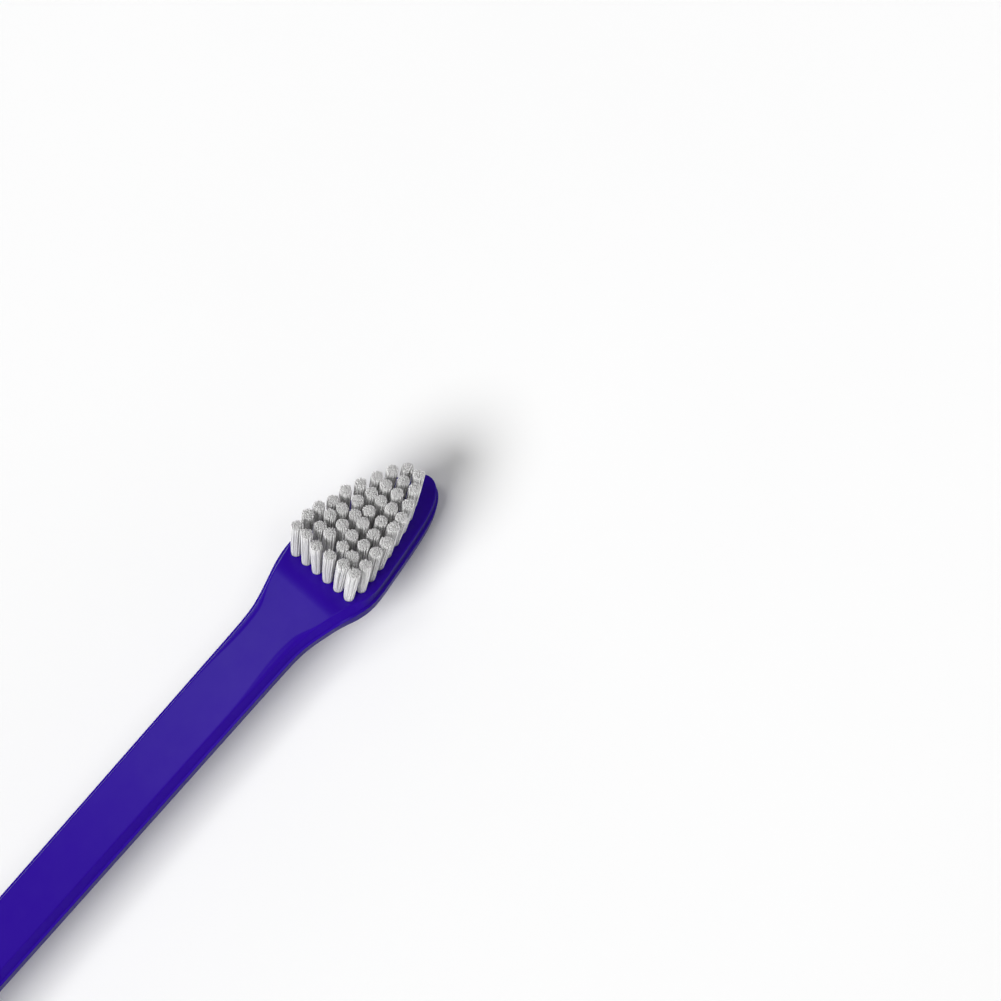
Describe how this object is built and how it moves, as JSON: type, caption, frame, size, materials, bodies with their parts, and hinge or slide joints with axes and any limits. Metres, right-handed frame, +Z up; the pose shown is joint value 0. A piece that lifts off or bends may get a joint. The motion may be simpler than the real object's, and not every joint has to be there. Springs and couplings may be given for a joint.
{
  "type": "pet toothbrush",
  "caption": "Dual-ended pet toothbrush: flat moulded handle, a wide and a narrow head that lean back from the bristle side, tufts of short nylon bristles.",
  "frame": {"origin": "middle of the brush, on the surface that the tips of its two heads rest on", "axes": "+X along the handle towards the large head, +Y to the left seen from the small head, +Z up, the way the bristles point"},
  "size_m": [0.2164, 0.02, 0.0244],
  "materials": {
    "moulding": "violet-blue injection moulded plastic, satin gloss",
    "bristle": "pale grey-white translucent nylon filament",
    "anchor": "plates sheared from flat brass wire, only seen inside the holes"
  },
  "bodies": {
    "root": {"body": "moulding", "tuft_large_r1_c1": "bristle", "tuft_large_r1_c2": "bristle", "tuft_large_r1_c3": "bristle", "tuft_large_r1_c4": "bristle", "tuft_large_r1_c5": "bristle", "tuft_large_r1_c6": "bristle", "tuft_large_r2_c1": "bristle", "tuft_large_r2_c2": "bristle", "tuft_large_r2_c3": "bristle", "tuft_large_r2_c4": "bristle", "tuft_large_r2_c5": "bristle", "tuft_large_r2_c6": "bristle", "tuft_large_r3_c1": "bristle", "tuft_large_r3_c2": "bristle", "tuft_large_r3_c3": "bristle", "tuft_large_r3_c4": "bristle", "tuft_large_r3_c5": "bristle", "tuft_large_r3_c6": "bristle", "tuft_large_r4_c1": "bristle", "tuft_large_r4_c2": "bristle", "tuft_large_r4_c3": "bristle", "tuft_large_r4_c4": "bristle", "tuft_large_r4_c5": "bristle", "tuft_large_r4_c6": "bristle", "tuft_large_r5_c1": "bristle", "tuft_large_r5_c2": "bristle", "tuft_large_r5_c3": "bristle", "tuft_large_r5_c4": "bristle", "tuft_large_r5_c5": "bristle", "tuft_large_r6_c1": "bristle", "tuft_large_r6_c2": "bristle", "tuft_large_r6_c3": "bristle", "tuft_large_r6_c4": "bristle", "tuft_large_r6_c5": "bristle", "tuft_large_r7_c1": "bristle", "tuft_large_r7_c2": "bristle", "tuft_large_r7_c3": "bristle", "tuft_large_r7_c4": "bristle", "tuft_large_r8_c1": "bristle", "tuft_large_r8_c2": "bristle", "tuft_large_r8_c3": "bristle", "tuft_large_r9_c1": "bristle", "tuft_large_r9_c2": "bristle", "tuft_small_r1_c1": "bristle", "tuft_small_r1_c2": "bristle", "tuft_small_r1_c3": "bristle", "tuft_small_r2_c1": "bristle", "tuft_small_r2_c2": "bristle", "tuft_small_r2_c3": "bristle", "tuft_small_r3_c1": "bristle", "tuft_small_r3_c2": "bristle", "tuft_small_r3_c3": "bristle", "tuft_small_r4_c1": "bristle", "tuft_small_r4_c2": "bristle", "tuft_small_r4_c3": "bristle", "tuft_small_r5_c1": "bristle", "tuft_small_r5_c2": "bristle"}
  },
  "joints": []
}
